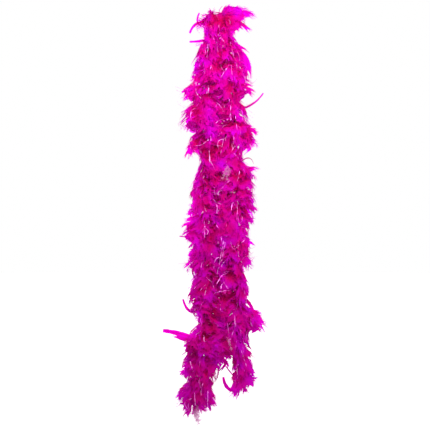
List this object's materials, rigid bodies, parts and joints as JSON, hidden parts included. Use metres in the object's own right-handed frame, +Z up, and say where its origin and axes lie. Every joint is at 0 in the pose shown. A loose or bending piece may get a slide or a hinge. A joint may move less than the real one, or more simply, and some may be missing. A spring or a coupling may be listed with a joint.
{
  "type": "feather boa",
  "caption": "Feather boa with metallic tinsel, hung over a hook folded in half: a limp core cord with stitched-in feathers, two free runs and knotted ends.",
  "frame": {"origin": "the point where the underside of the fold rests on the hook, midway between the two runs", "axes": "+Z up, the boa hangs down along -Z; +X to the viewer's right, across the two runs; the front faces -Y"},
  "size_m": [0.2402, 0.1214, 0.9898],
  "materials": {
    "feathers": "soft dyed down and vane, hot pink to magenta",
    "core_cord": "matt twisted polyester",
    "stitch_thread": "spun sewing thread",
    "tinsel": "metallised polyester film, pink silver"
  },
  "bodies": {
    "fold": {"core_cord_fold": "core_cord", "stitch_thread_fold": "stitch_thread", "feather_tuft_fold_left": "feathers", "feather_tuft_fold_top": "feathers", "feather_tuft_fold_right": "feathers", "tinsel_strand_fold": "tinsel"},
    "left_1": {"core_cord_left_1": "core_cord", "stitch_thread_left_1": "stitch_thread", "feather_sleeve_left_1": "feathers", "tinsel_strand_left_1": "tinsel", "stray_feather_left_1": "feathers"},
    "left_2": {"core_cord_left_2": "core_cord", "stitch_thread_left_2": "stitch_thread", "feather_sleeve_left_2": "feathers", "tinsel_strand_left_2": "tinsel", "stray_feather_left_2": "feathers"},
    "left_3": {"core_cord_left_3": "core_cord", "stitch_thread_left_3": "stitch_thread", "feather_sleeve_left_3": "feathers", "tinsel_strand_left_3": "tinsel", "stray_feather_left_3": "feathers"},
    "left_4": {"core_cord_left_4": "core_cord", "stitch_thread_left_4": "stitch_thread", "feather_sleeve_left_4": "feathers", "tinsel_strand_left_4": "tinsel", "stray_feather_left_4": "feathers"},
    "left_5": {"core_cord_left_5": "core_cord", "stitch_thread_left_5": "stitch_thread", "feather_sleeve_left_5": "feathers", "tinsel_strand_left_5": "tinsel", "end_knot_left": "core_cord"},
    "right_1": {"core_cord_right_1": "core_cord", "stitch_thread_right_1": "stitch_thread", "feather_sleeve_right_1": "feathers", "tinsel_strand_right_1": "tinsel", "stray_feather_right_1": "feathers"},
    "right_2": {"core_cord_right_2": "core_cord", "stitch_thread_right_2": "stitch_thread", "feather_sleeve_right_2": "feathers", "tinsel_strand_right_2": "tinsel", "stray_feather_right_2": "feathers"},
    "right_3": {"core_cord_right_3": "core_cord", "stitch_thread_right_3": "stitch_thread", "feather_sleeve_right_3": "feathers", "tinsel_strand_right_3": "tinsel", "stray_feather_right_3": "feathers"},
    "right_4": {"core_cord_right_4": "core_cord", "stitch_thread_right_4": "stitch_thread", "feather_sleeve_right_4": "feathers", "tinsel_strand_right_4": "tinsel"},
    "right_5": {"core_cord_right_5": "core_cord", "stitch_thread_right_5": "stitch_thread", "feather_sleeve_right_5": "feathers", "tinsel_strand_right_5": "tinsel", "stray_feather_right_5": "feathers", "end_knot_right": "core_cord"}
  },
  "joints": [
    {"name": "left_swing_1", "type": "hinge", "parent": "fold", "child": "left_1", "pos_m": [-0.019, 0, -0.045], "axis": [1, 0, 0], "range_deg": [-45, 45]},
    {"name": "left_side_bend_2", "type": "hinge", "parent": "left_1", "child": "left_2", "pos_m": [-0.034, 0.004, -0.217], "axis": [0, 1, 0], "range_deg": [0, 45]},
    {"name": "left_swing_3", "type": "hinge", "parent": "left_2", "child": "left_3", "pos_m": [-0.029, -0.003, -0.39], "axis": [1, 0, 0], "range_deg": [-45, 45]},
    {"name": "left_side_bend_4", "type": "hinge", "parent": "left_3", "child": "left_4", "pos_m": [-0.03, 0.004, -0.562], "axis": [0, 1, 0], "range_deg": [0, 45]},
    {"name": "left_swing_5", "type": "hinge", "parent": "left_4", "child": "left_5", "pos_m": [-0.034, 0, -0.735], "axis": [1, 0, 0], "range_deg": [-45, 45]},
    {"name": "right_swing_1", "type": "hinge", "parent": "fold", "child": "right_1", "pos_m": [0.019, 0, -0.045], "axis": [1, 0, 0], "range_deg": [-45, 45]},
    {"name": "right_side_bend_2", "type": "hinge", "parent": "right_1", "child": "right_2", "pos_m": [0.038, -0.004, -0.209], "axis": [0, -1, 0], "range_deg": [0, 45]},
    {"name": "right_swing_3", "type": "hinge", "parent": "right_2", "child": "right_3", "pos_m": [0.044, 0.003, -0.373], "axis": [1, 0, 0], "range_deg": [-45, 45]},
    {"name": "right_side_bend_4", "type": "hinge", "parent": "right_3", "child": "right_4", "pos_m": [0.042, -0.004, -0.537], "axis": [0, -1, 0], "range_deg": [0, 45]},
    {"name": "right_swing_5", "type": "hinge", "parent": "right_4", "child": "right_5", "pos_m": [0.05, 0, -0.702], "axis": [1, 0, 0], "range_deg": [-45, 45]}
  ]
}
